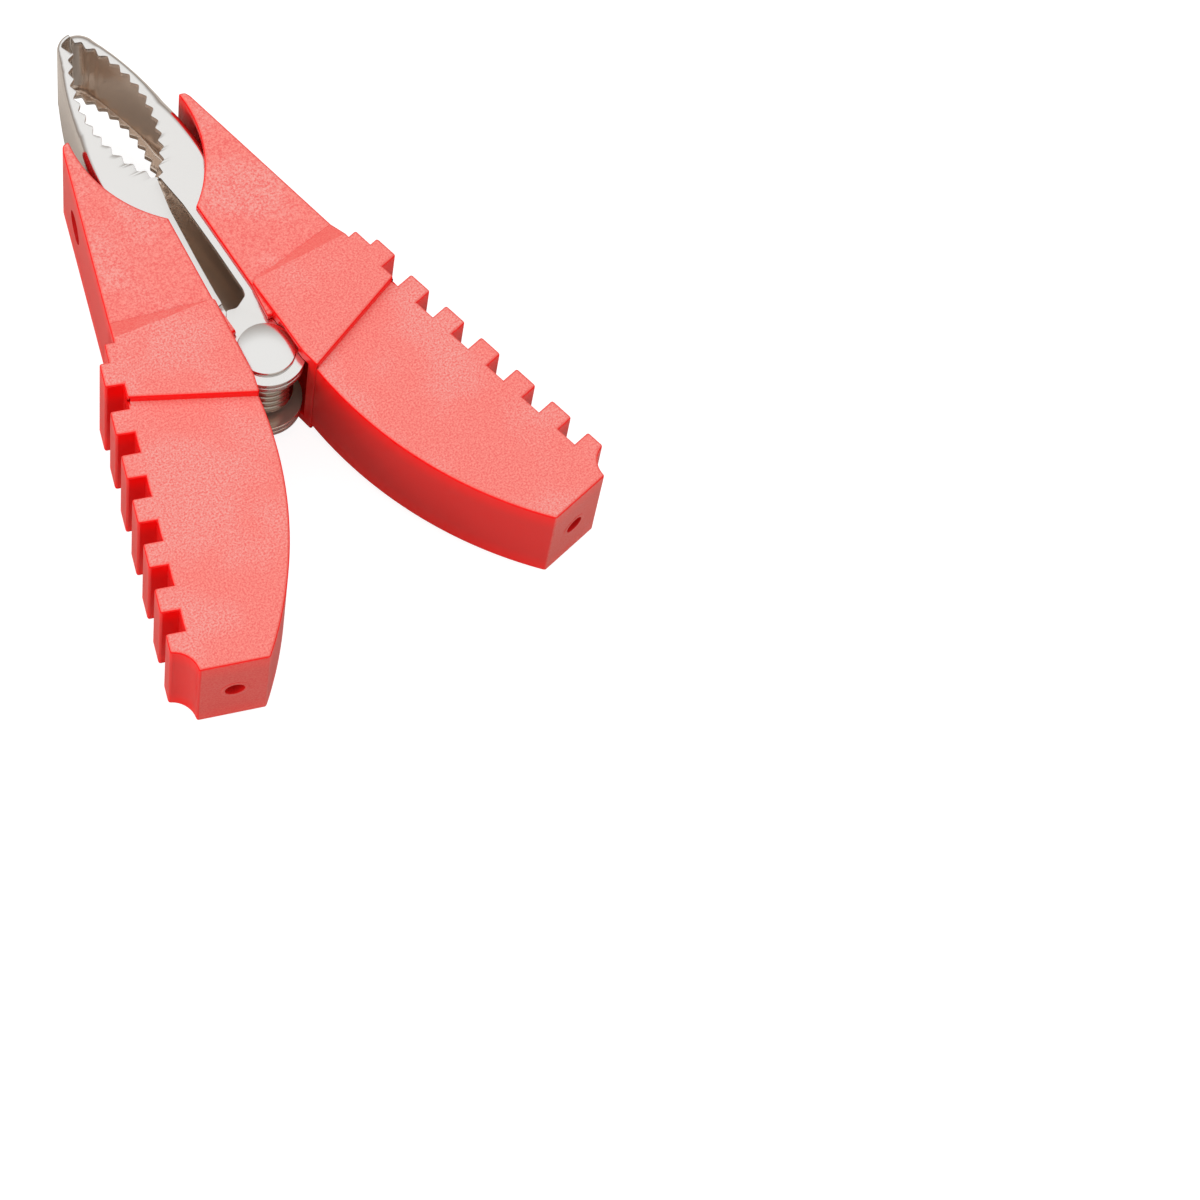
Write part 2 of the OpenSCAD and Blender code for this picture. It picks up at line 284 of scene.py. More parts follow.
# A low closed profile turned about the hole, whose axis runs along the grip
def makeLip(word, side):
    along, across = gripPoint(1.0, 0.0), gripPoint(0.0, 1.0)
    origin = [*gripPoint(lip["u"], lip["v"]), 0]
    axes = [[*across, 0], [0, 0, 1], [*along, 0]]
    r, w, h, foot = lip["hole"], lip["wide"], lip["high"], -lip["inside"]
    profile = [[r - 0.03, foot], [r - 0.03, h * 0.6], [r + 0.06, h], [r + w * 0.6, h * 0.85],
               [r + w, 0.02], [r + w, foot]]
    piece = ringPiece(f"cable_rim_{word}", profile, side, origin, axes)
    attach(piece, f"{word}_half")
    return piece


lips = [makeLip(word, side) for word, side in halves.items()]
print("cable hole lips made")

# Jaws: one folded sheet a side, from the tip to the tail
jaw = {
    "length": 50.6,
    "tipR": 2.6,
    "backCentre": (-57.6, 23.9),
    "backR": 65.0,
    "mouthFront": 49.3,
    "mouthRear": 27.0,
    "mouthHalf": 3.95,
    "toothPitch": 1.85,
    "toothDepth": 0.75,
    "toothPoint": 0.94,  # 1 is a true point, less is rounder
    "bend": 1.2,
    "tipBend": 2.0,
    "tipBendFrom": (33, 43),  # where along the jaw one bend turns into the other
    "joinY": 46.0,
    "tailV": 9.7,
    "tailEnd": 31.0,
    "seam": 0.05,
    "window": [[0.2, 27.0], [0.9, 22.5], [1.35, 15.0], [1.6, 9.0], [1.6, 8.1]],
    "tipNotch": [[0.05, 50.1], [0.8, 49.9], [1.45, 49.55], [1.7, 49.2], [1.1, 47.9]],
    "notchRear": 47.75,
}


# The toothed edge of the mouth, front to rear: an arc whose radius rises and falls
# as a triangle wave with rounded points. The left jaw has a gap at its tip.
def mouthEdge(side):
    half = (jaw["mouthFront"] - jaw["mouthRear"]) / 2
    middle = (jaw["mouthFront"] + jaw["mouthRear"]) / 2
    r = (half * half + jaw["mouthHalf"] ** 2) / (2 * jaw["mouthHalf"])
    spread = math.asin(half / r)
    teeth = math.floor(2 * r * spread / jaw["toothPitch"])
    angle = np.linspace(spread, -spread, 1600)
    phase = angle * r / jaw["toothPitch"] + teeth / 2
    wave = np.abs((phase % 1.0) * 2 - 1)
    wave = 0.5 + np.arcsin(jaw["toothPoint"] * np.sin((0.5 - wave) * math.pi)) / math.pi
    inside = smooth(np.abs(phase - teeth / 2), teeth / 2 + 0.05, teeth / 2)
    radius = r - jaw["toothDepth"] / 2 + jaw["toothDepth"] * wave * inside
    x = jaw["mouthHalf"] - r + radius * np.cos(angle)
    line = np.stack([np.maximum(x, jaw["seam"]), middle + radius * np.sin(angle)], 1)
    if side > 0:
        return line
    notch = np.array(jaw["tipNotch"])
    front = atDistance(notch, np.linspace(0, distances(notch)[-1], 80))
    return np.concatenate([front, line[line[:, 1] < jaw["notchRear"]]])


# The back of the jaw and the free edge of its cheek, matched point for point: by
# distance near the tip, level with each other beyond joinY, and then along the tail
def jawLines(side):
    tip = (0.0, jaw["length"] - jaw["tipR"])
    back = np.concatenate([
        arc(tip, jaw["tipR"], 88.9, 22.6, 60),
        arc(jaw["backCentre"], jaw["backR"], 22.6, 3.6, 200)[1:],
        [[8.7, 14.0], [10.0, 0.4]],
    ])
    edge = mouthEdge(side)
    window = np.array(jaw["window"])
    joinBack = np.interp(-jaw["joinY"], -back[:, 1], distances(back))
    joinEdge = np.interp(-jaw["joinY"], -edge[:, 1], distances(edge))
    rearBack = np.interp(-jaw["mouthRear"], -back[:, 1], distances(back))
    b = np.concatenate([
        np.linspace(0, joinBack, 64)[:-1],
        np.linspace(joinBack, rearBack, 200)[:-1],
    ])
    outer = atDistance(back, b)
    near = atDistance(edge, joinEdge * np.minimum(b / joinBack, 1) ** 1.5)
    level = np.interp(-outer[:, 1], -edge[:, 1], edge[:, 0])
    inner = np.where((b < joinBack)[:, None], near, np.stack([level, outer[:, 1]], 1))
    y = np.linspace(jaw["mouthRear"], window[-1, 1], 40)
    outer = np.concatenate([outer, np.stack([np.interp(-y, -back[:, 1], back[:, 0]), y], 1)])
    inner = np.concatenate([inner, np.stack([np.interp(-y, -window[:, 1], window[:, 0]), y], 1)])
    u = np.array([4.0, 8.0, 16.0, 24.0, jaw["tailEnd"]])
    rearOut = np.concatenate([[[9.45, 6.0], [9.8, 3.0], [10.05, 0.4]], gripPoint(u, jaw["tailV"])])
    rearIn = np.concatenate([[[4.8, 7.4], [7.6, 3.6], [8.7, 0.2]],
                             gripPoint(u, jaw["tailV"] - 1.0)])
    half = np.concatenate([np.full(len(outer) + 2, clip["cheekZ"]), [5.8], np.full(5, 4.0)])
    return np.concatenate([outer, rearOut]), np.concatenate([inner, rearIn]), half


# The upper half of the sheet's section: along the outside from the back to the free
# edge, round it, and along the inside to the back. s runs from the edge to the back.
def sheetSection(length, half, wall, bend):
    t = clip["sheet"]
    r = np.minimum(bend, 0.82 * wall)
    ri = np.maximum(r - t, 0.12)
    li = length - t
    turn = np.radians(np.linspace(0, 90, 9))
    e = 0.07
    s = [length, length]
    z = [0 * half, 0.6 * (half - r)]
    s += [length - r + r * math.cos(a) for a in turn]
    z += [half - r + r * math.sin(a) for a in turn]
    s += [0.5 * (length - r), e + 0 * length, 0.02 + 0 * length, 0 * length, 0 * length,
          0.02 + 0 * length, e + 0 * length]
    z += [half, half, half - 0.02, half - e, half - t + e, half - t + 0.02, half - t]
    s += [np.maximum(0.5 * (li - ri), e)]
    z += [half - t]
    s += [np.maximum(li - ri + ri * math.cos(a), e) for a in turn[::-1]]
    z += [half - t - ri + ri * math.sin(a) for a in turn[::-1]]
    s += [li, li]
    z += [0.6 * (half - t - ri), 0 * half]
    return np.stack(s, 1), np.stack(z, 1)


# The section is laid across each pair of matched points. The bend follows the
# cheek's width, smoothed along the jaw so that the teeth don't show in it.
def makeJawSheet(word, side):
    outer, inner, half = jawLines(side)
    away = outer - inner
    length = np.linalg.norm(away, axis=1)
    away /= length[:, None]
    reach = 12
    wall = [length[max(i - reach, 0):i + reach + 1].min() for i in range(len(length))]
    evenly = np.full(2 * reach + 1, 1 / (2 * reach + 1))
    wall = np.convolve(np.pad(wall, reach, mode="edge"), evenly, mode="valid")
    bend = jaw["bend"] + (jaw["tipBend"] - jaw["bend"]) * smooth(outer[:, 1], *jaw["tipBendFrom"])
    s, z = sheetSection(length, half, np.minimum(wall, length), bend)
    s = np.concatenate([s, s[:, -2:0:-1]], 1)
    z = np.concatenate([z, -z[:, -2:0:-1]], 1)
    flat = inner[:, None, :] + s[:, :, None] * away[:, None, :]
    loops = np.concatenate([flat, z[:, :, None]], 2)
    piece = loopsPiece(f"jaw_{word}_sheet", loops, side, 40)
    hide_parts(f"jaw_{word}")
    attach(piece, f"{word}_half")
    return piece


jawSheets = [makeJawSheet(word, side) for word, side in halves.items()]
print("jaw sheets made")

# Ears: flat outside on the right half, stepped inwards on the left
ear = {"drop": 0.9, "lap": 0.003, "edge": 0.1, "neck": (9.6, 2.4), "step": (7.3, 8.5)}


# A corner rounded by a parabola between points at reach from it on its two sides
def roundCorner(before, corner, after, reach, n=6):
    before, corner, after = (np.asarray(p, float) for p in (before, corner, after))
    a = corner + (before - corner) / np.linalg.norm(before - corner) * reach
    b = corner + (after - corner) / np.linalg.norm(after - corner) * reach
    t = np.linspace(0, 1, n)[:, None]
    return (1 - t) ** 2 * a + 2 * t * (1 - t) * corner + t * t * b


# An ear above and one below, each a plate from the window's end round the shank
def makeOuterEars():
    outline = np.concatenate([
        [[6.8, 9.2], [1.66, 9.2], [1.62, 8.9]],
        roundCorner([1.6, 9.2], [1.45, 7.9], [-0.3, 6.8], 0.35),
        roundCorner([1.45, 7.9], [-0.3, 6.8], [-1.5, 7.1], 0.4),
        roundCorner([-0.3, 6.8], [-1.6, 7.1], [-4.5, 1.8], 0.4),
        arc((0, 0), clip["earR"], 164, 372, 72),
        [[7.0, 3.6]],
    ])
    made = []
    top = clip["cheekZ"] - ear["lap"]
    for word, turn in (("upper", 1), ("lower", -1)):
        low, high = sorted((turn * (top - clip["sheet"]), turn * top))
        piece = platePiece(f"ear_right_{word}", outline, low, high, ear["edge"])
        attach(piece, "right_half")
        made.append(piece)
    return made


# The stepped neck is a grid whose level falls, as a smooth step, from the cheek to
# the ear; the ear itself is a round plate
def makeInnerEars():
    made = []
    columns = 9
    y = np.linspace(*ear["neck"], 30)
    x = np.linspace(0, 1, columns)
    nearEdge = np.interp(-y, [-9.6, -8.0, -6.5, -2.4], [1.62, 1.6, 1.3, 0.6])
    farEdge = np.interp(-y, [-9.6, -2.4], [7.4, 4.0])
    across = nearEdge[:, None] + (farEdge - nearEdge)[:, None] * x
    level = clip["cheekZ"] - ear["drop"] + (ear["drop"] - ear["lap"]) * smooth(y, *ear["step"])
    topGrid = np.stack([across, *(np.repeat(w[:, None], columns, 1) for w in (y, level))], 2)
    top = clip["cheekZ"] - ear["drop"] - ear["lap"]
    for word, turn in (("upper", 1), ("lower", -1)):
        grid = topGrid * [1, 1, turn]
        under = grid - np.array([0, 0, turn * clip["sheet"]])
        loops = np.concatenate([grid, under[:, ::-1]], 1)
        neck = loopsPiece(f"neck_left_{word}", loops, -1.0)
        low, high = sorted((turn * (top - clip["sheet"]), turn * top))
        disc = platePiece(f"ear_left_{word}", arc((0, 0), clip["earR"], 0, 355, 72), low, high,
                          ear["edge"], -1.0)
        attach(neck, "left_half")
        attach(disc, "left_half")
        made += [neck, disc]
    return made


ears = makeOuterEars() + makeInnerEars()
print("ears made")

# Pivot: a domed head above, a washer and a clenched end below
rivet = {"headR": 3.6, "headLow": 6.45, "rim": 0.5, "dome": 1.15, "clenchR": 2.5, "clenchH": 0.8}
washer = {"bore": 1.65, "outer": 3.3, "thick": 0.5}


# One profile from the clenched end up the shank and over the head: the dome's
# height falls off as the square of the radius
def makeRivet():
    r, low, clenchR = rivet["headR"], rivet["headLow"], rivet["clenchR"]
    foot = -(low + washer["thick"])
    domeR = r - 0.12
    rise = rivet["dome"] - rivet["rim"]
    t = np.linspace(0, 1, 14) * math.pi / 2
    dome = np.stack([domeR * np.cos(t), low + rivet["rim"] + rise * np.sin(t) ** 2], 1)
    dome[-1, 0] = 0.001
    clench = [[0.001, foot - rivet["clenchH"]], [clenchR - 0.35, foot - rivet["clenchH"]],
              [clenchR - 0.1, foot - 0.68], [clenchR, foot - 0.45], [clenchR, foot]]
    shank = [[clip["shankR"], foot], [clip["shankR"], low]]
    head = [[r - 0.25, low], [r - 0.05, low + 0.08], [r, low + 0.2], [r - 0.03, low + 0.33]]
    piece = turnedPiece("rivet_turned", [*clench, *shank, *head, *dome.tolist()], 128)
    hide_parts("pivot_rivet")
    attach(piece, "left_half")
    return piece


# A flat ring under the ears with its four edges broken
def makeWasher():
    low = -(rivet["headLow"] + washer["thick"])
    high = low + washer["thick"]
    inner, outer = washer["bore"], washer["outer"]
    profile = [[inner, low + 0.05], [inner, high - 0.05], [inner + 0.1, high], [outer - 0.2, high],
               [outer, high - 0.12], [outer, low + 0.12], [outer - 0.2, low], [inner + 0.1, low]]
    piece = ringPiece("washer_ring", profile)
    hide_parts("rivet_washer")
    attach(piece, "left_half")
    return piece


rivets = [makeRivet(), makeWasher()]
print("rivet made")

# Spring: a close coil with a straight leg along each tail
spring = {"coilR": 3.0, "wireR": 0.6, "turns": 5, "half": 3.3, "lean": 40.0, "leg": 13.3, "sides": 20}


# A helix about the pivot, with a leg off each end on its tangent
def springPath():
    sweep = 360 * spring["turns"] + 180 - 2 * spring["lean"]
    a = np.radians(180 - spring["lean"] - np.linspace(0, sweep, 320))
    rise = np.linspace(-spring["half"], spring["half"], 320)
    coil = np.stack([spring["coilR"] * np.cos(a), spring["coilR"] * np.sin(a), rise], 1)
    s, c = math.sin(math.radians(spring["lean"])), math.cos(math.radians(spring["lean"]))
    away = np.linspace(spring["leg"], 0.25, 14)[:, None]
    first = coil[0] + away * [-s, -c, 0]
    last = coil[-1] + away[::-1] * [s, -c, 0]
    return np.concatenate([first, coil, last])


# A circle carried along the path, square to it and level with the coil
def makeSpring():
    path = springPath()
    along = np.gradient(path, axis=0)
    along /= np.linalg.norm(along, axis=1)[:, None]
    level = np.cross(along, [0, 0, 1.0])
    level /= np.linalg.norm(level, axis=1)[:, None]
    up = np.cross(level, along)
    a = np.linspace(0, 2 * math.pi, spring["sides"], endpoint=False)
    ends = np.ones(len(path))
    ends[[0, -1]] = 0.8
    ring = level[:, None] * np.cos(a)[:, None] + up[:, None] * np.sin(a)[:, None]
    loops = path[:, None] + spring["wireR"] * ends[:, None, None] * ring
    piece = loopsPiece("spring_wire", loops, 1.0, 50)
    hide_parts("torsion_spring")
    low, high = pivot.copy(), pivot.copy()
    low[2] -= spring["half"] * 0.001
    high[2] += spring["half"] * 0.001
    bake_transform(piece)
    return piece


springWire = makeSpring()
print("spring made")

# Looks: linear colours, ranges as (from, to), lengths in metres
moulding = {
    "plain": (0.8, 0.05, 0.04),
    "wall": (0.76, 0.012, 0.012),
    # painted light: the walls' brighter red near the outer faces
    "wallNearSkin": (0.96, 0.003, 0.003),
    # grain colours: pale pink painted sheen of the overhead light on the flat tops, paler still as
    # painted highlight on raised specks and in broad patches
    "grainLow": (0.85, 0.135, 0.12),
    "grainHigh": (0.95, 0.285, 0.24),
    "grainWorn": (0.90, 0.38, 0.335),
    # painted shade: the ramps' top colour, a deeper red than the flat tops' pale sheen
    "ramp": (0.90, 0.11, 0.09),
    "rough": (0.30, 0.52),  # of the walls and of the grain
    "specular": 0.34,
    "plainRough": 0.45,
    "level": (0.70, 0.92),  # upright part of the normal, over which the grain and the pale painted sheen set in
    "skin": (0.0066, 0.0069),  # distance from the middle plane, likewise
    "band": (0.0035, 0.0068),  # the same distance, over which the walls brighten as painted light
    "slope": (0.985, 0.965),  # upright part of the normal, over which a face is a ramp
    "rampShare": 0.55,
    "rear": (-0.0320, -0.0330),  # past this, behind the pivot, lie the end faces
    "facing": (-0.80, -0.93),  # rearward part of an end face's normal
    # painted reflection: share of the pale top colour blended onto the rearward end faces
    "scuffShare": 0.36,
    # range of the broad noise over which the painted sheen turns paler in patches
    "wear": (0.40, 0.62),
    "speck": (0.36, 0.64),
    "fineScale": 4200,
    "cellScale": 3300,
    "broadScale": 90,
    "bump": 0.55,
    "cellShare": 0.6,
    "bumpDepth": 0.00006,
}
metals = {
    "nickel plate": {
        "colour": (0.80, 0.785, 0.765),
        "rough": (0.12, 0.22),
        "depth": 0.000008,
        "inside": (0.80, 0.66, 0.55),
    },
    "rivet plate": {"colour": (0.81, 0.80, 0.785), "rough": (0.15, 0.25), "depth": 0.000008},
    "spring steel": {"colour": (0.44, 0.38, 0.32), "rough": (0.16, 0.32), "depth": 0.00002},
}
sheetNoise = {"scale": 260, "detail": 4, "bump": 0.3}
insideMetallic = 0.65
insideRange = (-0.0003, -0.0012)  # how far the normal points back, in metres
colourSocket, floatSocket, vectorSocket = "NodeSocketColor", "NodeSocketFloat", "NodeSocketVector"


# A material and its Principled shader, with plain values on the shader's sockets
def newMaterial(name, colour, roughness, metallic=0.0):
    material = bpy.data.materials.new(name)
    material.use_nodes = True
    shader = material.node_tree.nodes["Principled BSDF"]
    shader.inputs["Base Color"].default_value = (*colour, 1)
    shader.inputs["Roughness"].default_value = roughness
    shader.inputs["Metallic"].default_value = metallic
    return material, shader


# A node with its settings, and with a value or another node's socket for each input
def addNode(tree, kind, inputs=None, **settings):
    node = tree.nodes.new(kind)
    for key, value in settings.items():
        setattr(node, key, value)
    for name, source in (inputs or {}).items():
        if isinstance(source, bpy.types.NodeSocket):
            tree.links.new(source, node.inputs[name])
        else:
            node.inputs[name].default_value = source
    return node


# An empty node group with named inputs and outputs
def newGroup(name, inputs, outputs):
    group = bpy.data.node_groups.new(name, "ShaderNodeTree")
    for way, sockets in (("INPUT", inputs), ("OUTPUT", outputs)):
        for socket, kind in sockets.items():
            group.interface.new_socket(name=socket, in_out=way, socket_type=kind)
    return group


# Sum, product or other operation on terms that are numbers or sockets
def mathNode(tree, operation, *terms):
    inputs = dict(enumerate(terms))
    return addNode(tree, "ShaderNodeMath", inputs, operation=operation).outputs[0]


# A map of a value from one range to another, straight unless told, held at the ends
def mapNode(tree, source, ends=(0, 1), out=(0, 1), way="LINEAR"):
    inputs = {"Value": source, "From Min": ends[0], "From Max": ends[1],
              "To Min": out[0], "To Max": out[1]}
    node = addNode(tree, "ShaderNodeMapRange", inputs, interpolation_type=way)
    return node.outputs["Result"]


# A smooth step from 0 at the first end to share at the second
def stepNode(tree, source, ends, share=1.0):
    return mapNode(tree, source, ends, (0, share), "SMOOTHSTEP")


# A blend of two colours, each a fixed colour or a socket: a (1 - factor) + b factor
def mixNode(tree, factor, a, b):
    inputs = {"Factor": factor}
    for name, colour in (("A", a), ("B", b)):
        inputs[name] = (*colour, 1) if isinstance(colour, tuple) else colour
    return addNode(tree, "ShaderNodeMix", inputs, data_type="RGBA").outputs["Result"]


# The moulding's surface. Its flat outer faces carry a leather grain of fine noise plus cells;
# their pale pink is painted sheen of the overhead light, paler in specks where the grain stands
# high (grain tone and painted highlight) and in broad patches, and redder on the ramps as painted
# shade. Its walls are smooth and deep red, brighter in a band near the outer faces as painted
# light, with the rearward end faces blended towards the pale top colour as painted reflection.
def grainAndPaintedLightGroup():
    outputs = {"Colour": colourSocket, "Roughness": floatSocket, "Normal": vectorSocket}
    group = newGroup("leatherGrain", {}, outputs)
    place = addNode(group, "ShaderNodeTexCoord").outputs["Object"]
    turned = addNode(group, "ShaderNodeNewGeometry").outputs["Normal"]
    normal = addNode(group, "ShaderNodeSeparateXYZ", {0: turned}).outputs
    spot = addNode(group, "ShaderNodeSeparateXYZ", {0: place}).outputs
    upright = mathNode(group, "ABSOLUTE", normal["Z"])
    fromMiddle = mathNode(group, "ABSOLUTE", mathNode(group, "SUBTRACT", spot["Z"], pivot[2]))
    level = stepNode(group, upright, moulding["level"])
    skin = stepNode(group, fromMiddle, moulding["skin"])
    flat = mathNode(group, "MULTIPLY", level, skin)
    noiseInputs = {"Vector": place, "Scale": moulding["fineScale"], "Detail": 3, "Roughness": 0.6}
    fine = addNode(group, "ShaderNodeTexNoise", noiseInputs, noise_dimensions="3D").outputs["Fac"]
    noiseInputs = {"Vector": place, "Scale": moulding["broadScale"], "Detail": 2}
    broad = addNode(group, "ShaderNodeTexNoise", noiseInputs, noise_dimensions="3D").outputs["Fac"]
    cellInputs = {"Vector": place, "Scale": moulding["cellScale"]}
    cells = addNode(group, "ShaderNodeTexVoronoi", cellInputs, feature="SMOOTH_F1")
    # paler patches of the painted sheen, from broad noise
    sheenPatch = stepNode(group, broad, moulding["wear"])
    high = mixNode(group, sheenPatch, moulding["grainHigh"], moulding["grainWorn"])
    # paler specks: grain tone and painted highlight on the raised grain
    speck = mapNode(group, fine, moulding["speck"])
    grainAndSheen = mixNode(group, speck, moulding["grainLow"], high)
    # painted shade: ramps take a deeper red than the pale sheen of the flat tops
    sloping = stepNode(group, upright, moulding["slope"], moulding["rampShare"])
    top = mixNode(group, sloping, grainAndSheen, moulding["ramp"])
    # painted light: walls brighten towards the outer faces
    band = stepNode(group, fromMiddle, moulding["band"])
    wall = mixNode(group, band, moulding["wall"], moulding["wallNearSkin"])
    # painted reflection: rearward end faces blended towards the pale top colour
    behind = [pivot[1] + y for y in moulding["rear"]]
    atRear = stepNode(group, spot["Y"], behind)
    facing = stepNode(group, normal["Y"], moulding["facing"], moulding["scuffShare"])
    endSheen = mathNode(group, "MULTIPLY", facing, atRear)
    side = mixNode(group, endSheen, wall, grainAndSheen)
    height = cells.outputs["Distance"]
    height = mathNode(group, "MULTIPLY_ADD", height, moulding["cellShare"], fine)
    bumpInputs = {
        "Strength": moulding["bump"],
        "Distance": moulding["bumpDepth"],
        "Height": mathNode(group, "MULTIPLY", height, flat),
    }
    bump = addNode(group, "ShaderNodeBump", bumpInputs)
    given = {
        # the flat tops take the pale painted sheen colour, the walls their own red
        "Colour": mixNode(group, flat, side, top),
        "Roughness": mapNode(group, flat, out=moulding["rough"]),
        "Normal": bump.outputs["Normal"],
    }
    addNode(group, "NodeGroupOutput", given)
    return group


# Colour, with its painted sheen, highlight, shade and reflection, roughness and normal come from the
# grain; how much it reflects is fixed
def makePlastic():
    material, shader = newMaterial("red plastic", moulding["plain"], moulding["plainRough"])
    tree = material.node_tree
    surface = addNode(tree, "ShaderNodeGroup", node_tree=grainAndPaintedLightGroup()).outputs
    tree.links.new(surface["Colour"], shader.inputs["Base Color"])
    tree.links.new(surface["Roughness"], shader.inputs["Roughness"])
    tree.links.new(surface["Normal"], shader.inputs["Normal"])
    shader.inputs["Specular IOR Level"].default_value = moulding["specular"]
    return material


# Tells the inside of a folded sheet from its outside: the mask is 1 where the normal
# points back at the line through the middle of the jaws
def insideGroup():
    group = newGroup("sheetInside", {}, {"Mask": floatSocket})
    place = addNode(group, "ShaderNodeTexCoord").outputs["Object"]
    normal = addNode(group, "ShaderNodeNewGeometry").outputs["Normal"]
    inputs = {0: place, 1: pivot.tolist()}
    away = addNode(group, "ShaderNodeVectorMath", inputs, operation="SUBTRACT").outputs[0]
    inputs = {0: away, 1: (1, 0, 1)}
    flat = addNode(group, "ShaderNodeVectorMath", inputs, operation="MULTIPLY").outputs[0]
    inputs = {0: flat, 1: normal}
    facing = addNode(group, "ShaderNodeVectorMath", inputs, operation="DOT_PRODUCT")
    mask = mapNode(group, facing.outputs["Value"], insideRange)
    addNode(group, "NodeGroupOutput", {"Mask": mask})
    return group


# The faint unevenness of rolled sheet: one noise lifts the surface by up to Depth and
# takes the roughness from Smooth to Rough
def unevenGroup():
    inputs = {"Smooth": floatSocket, "Rough": floatSocket, "Depth": floatSocket}
    group = newGroup("unevenMetal", inputs, {"Roughness": floatSocket, "Normal": vectorSocket})
    given = addNode(group, "NodeGroupInput").outputs
    place = addNode(group, "ShaderNodeTexCoord").outputs["Object"]
    noiseInputs = {
        "Vector": place,
        "Scale": sheetNoise["scale"],
        "Detail": sheetNoise["detail"],
    }
    noise = addNode(group, "ShaderNodeTexNoise", noiseInputs).outputs["Fac"]
    rough = mapNode(group, noise, out=(given["Smooth"], given["Rough"]))
    bumpInputs = {"Strength": sheetNoise["bump"], "Distance": given["Depth"], "Height": noise}
    bump = addNode(group, "ShaderNodeBump", bumpInputs)
    addNode(group, "NodeGroupOutput", {"Roughness": rough, "Normal": bump.outputs["Normal"]})
    return group


uneven = unevenGroup()


# Plated metal. If the sheet has an inside, the plate there is browner and duller:
# colour and metallic are blended by the mask.
def makeMetal(name, look):
    low, high = look["rough"]
    material, shader = newMaterial(name, look["colour"], (low + high) / 2, 1.0)
    tree = material.node_tree
    inputs = {"Smooth": low, "Rough": high, "Depth": look["depth"]}
    surface = addNode(tree, "ShaderNodeGroup", inputs, node_tree=uneven).outputs
    tree.links.new(surface["Roughness"], shader.inputs["Roughness"])
    tree.links.new(surface["Normal"], shader.inputs["Normal"])
    if "inside" in look:
        mask = addNode(tree, "ShaderNodeGroup", node_tree=insideGroup()).outputs["Mask"]
        colour = mixNode(tree, mask, look["colour"], look["inside"])
        metallic = mapNode(tree, mask, out=(1.0, insideMetallic))
        tree.links.new(colour, shader.inputs["Base Color"])
        tree.links.new(metallic, shader.inputs["Metallic"])
    return material


looks = {name: makeMetal(name, look) for name, look in metals.items()}
looks["red plastic"] = makePlastic()
wearers = {
    "red plastic": handles + lips,
    "nickel plate": jawSheets + ears,
    "rivet plate": rivets,
    "spring steel": [springWire],
}
for name, pieces in wearers.items():
    for piece in pieces:
        piece.data.materials.clear()
        piece.data.materials.append(looks[name])
print("materials made")

# Stage: a bright floor, a sky, three lamps and the camera, in metres
floorLook = {
    "half": 3.0,
    "z": -0.0002,
    "base": (0.35, 0.35, 0.35),
    "glow": 0.88,
    "dim": (0.58, 0.52, 0.465),  # what the part sees in place of the bright floor
}
sky = [
    (0.0, (0.46, 0.41, 0.38)),
    (0.25, (0.34, 0.28, 0.24)),
    (0.55, (0.62, 0.60, 0.585)),
    (0.76, (1.0, 1.0, 1.0)),
]
lamps = {
    "overhead": {"where": (0.25, 0.26, 0.72), "size": 0.7, "power": 1.0},
    "left": {"where": (-0.78, -0.02, 0.24), "size": 0.5, "power": 3.1},
    "right": {"where": (0.6, -0.5, 0.4), "size": 0.5, "power": 0.9},
}
view = {
    "lens": 122.96,
    "back": (-0.3094, -0.3250, 0.8937),
    "across": (0.8528, -0.5107, 0.1095),
    "fromPivot": (-0.13036, -0.20373, 0.43647),
}


# The floor is a white light table to the eye and a dimmer board to what it lights
def makeFloor():
    mesh = bpy.data.meshes.new("floor")
    w, z = floorLook["half"], floorLook["z"]
    mesh.from_pydata([(-w, -w, z), (w, -w, z), (w, w, z), (-w, w, z)], [], [(0, 1, 2, 3)])
    floor = bpy.data.objects.new("floor", mesh)
    bpy.context.scene.collection.objects.link(floor)
    material, shader = newMaterial("floor", floorLook["base"], 0.8)
    shader.inputs["Specular IOR Level"].default_value = 0.0
    shader.inputs["Emission Color"].default_value = (1, 1, 1, 1)
    shader.inputs["Emission Strength"].default_value = floorLook["glow"]
    tree = material.node_tree
    dim = addNode(tree, "ShaderNodeBsdfDiffuse", {"Color": (*floorLook["dim"], 1)})
    path = addNode(tree, "ShaderNodeLightPath")
    inputs = {"Fac": path.outputs["Is Camera Ray"], 1: dim.outputs[0], 2: shader.outputs[0]}
    mix = addNode(tree, "ShaderNodeMixShader", inputs)
    tree.links.new(mix.outputs[0], tree.nodes["Material Output"].inputs["Surface"])
    mesh.materials.append(material)


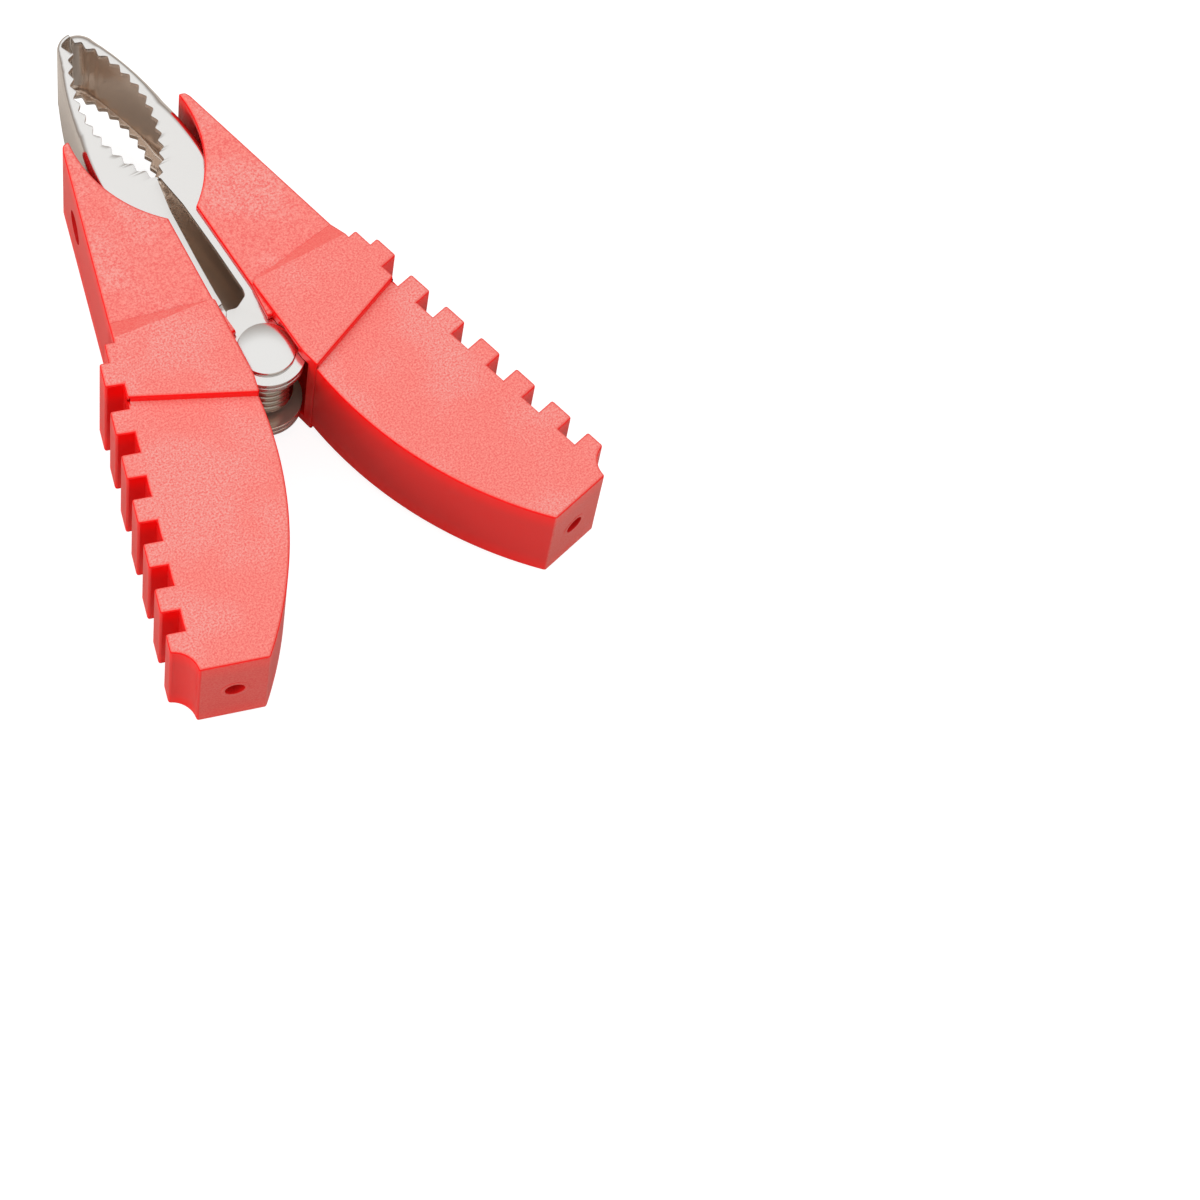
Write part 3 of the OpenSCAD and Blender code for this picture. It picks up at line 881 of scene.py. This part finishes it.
# Sky: bright overhead, dim and warm at the horizon, plain white to the camera
def makeWorld():
    world = bpy.data.worlds.new("studio")
    bpy.context.scene.world = world
    world.use_nodes = True
    tree = world.node_tree
    place = addNode(tree, "ShaderNodeTexCoord").outputs["Generated"]
    height = addNode(tree, "ShaderNodeSeparateXYZ", {0: place}).outputs["Z"]
    ramp = addNode(tree, "ShaderNodeValToRGB", {"Fac": height})
    stops = ramp.color_ramp.elements
    stops[0].position, stops[1].position = sky[0][0], sky[-1][0]
    for position, _ in sky[1:-1]:
        stops.new(position)
    for stop, (_, colour) in zip(stops, sky):
        stop.color = (*colour, 1)
    toEye = addNode(tree, "ShaderNodeLightPath").outputs["Is Camera Ray"]
    seen = mixNode(tree, toEye, ramp.outputs["Color"], (1, 1, 1))
    back = tree.nodes["Background"]
    tree.links.new(seen, back.inputs["Color"])
    back.inputs["Strength"].default_value = 1.0


# A square lamp turned to the origin, seen neither directly nor in the metal
def makeLamp(name, where, size, power):
    light = bpy.data.lights.new(name, "AREA")
    light.size = size
    light.energy = power
    lamp = bpy.data.objects.new(name, light)
    lamp.location = where
    lamp.rotation_euler = (-Vector(where)).to_track_quat("-Z", "Y").to_euler()
    lamp.visible_camera = False
    lamp.visible_glossy = False
    bpy.context.scene.collection.objects.link(lamp)


# The camera stands over the handles' left and looks down along the jaws: its axes
# are across, back x across, and back
def makeCamera():
    camera = bpy.data.cameras.new("camera")
    camera.sensor_width = 36
    camera.lens = view["lens"]
    camera.clip_start = 0.02
    camera.clip_end = 20
    eye = bpy.data.objects.new("camera", camera)
    bpy.context.scene.collection.objects.link(eye)
    back = Vector(view["back"]).normalized()
    across = Vector(view["across"])
    across = (across - across.dot(back) * back).normalized()
    turn = Matrix((across, back.cross(across), back)).transposed().to_4x4()
    where = Vector(pivot) + Vector(view["fromPivot"])
    eye.matrix_world = Matrix.Translation(where) @ turn
    bpy.context.scene.camera = eye


makeFloor()
makeWorld()
for name, lamp in lamps.items():
    makeLamp(name, **lamp)
makeCamera()
bpy.context.scene.view_settings.view_transform = "Standard"
bpy.context.scene.view_settings.look = "None"
print("stage set")
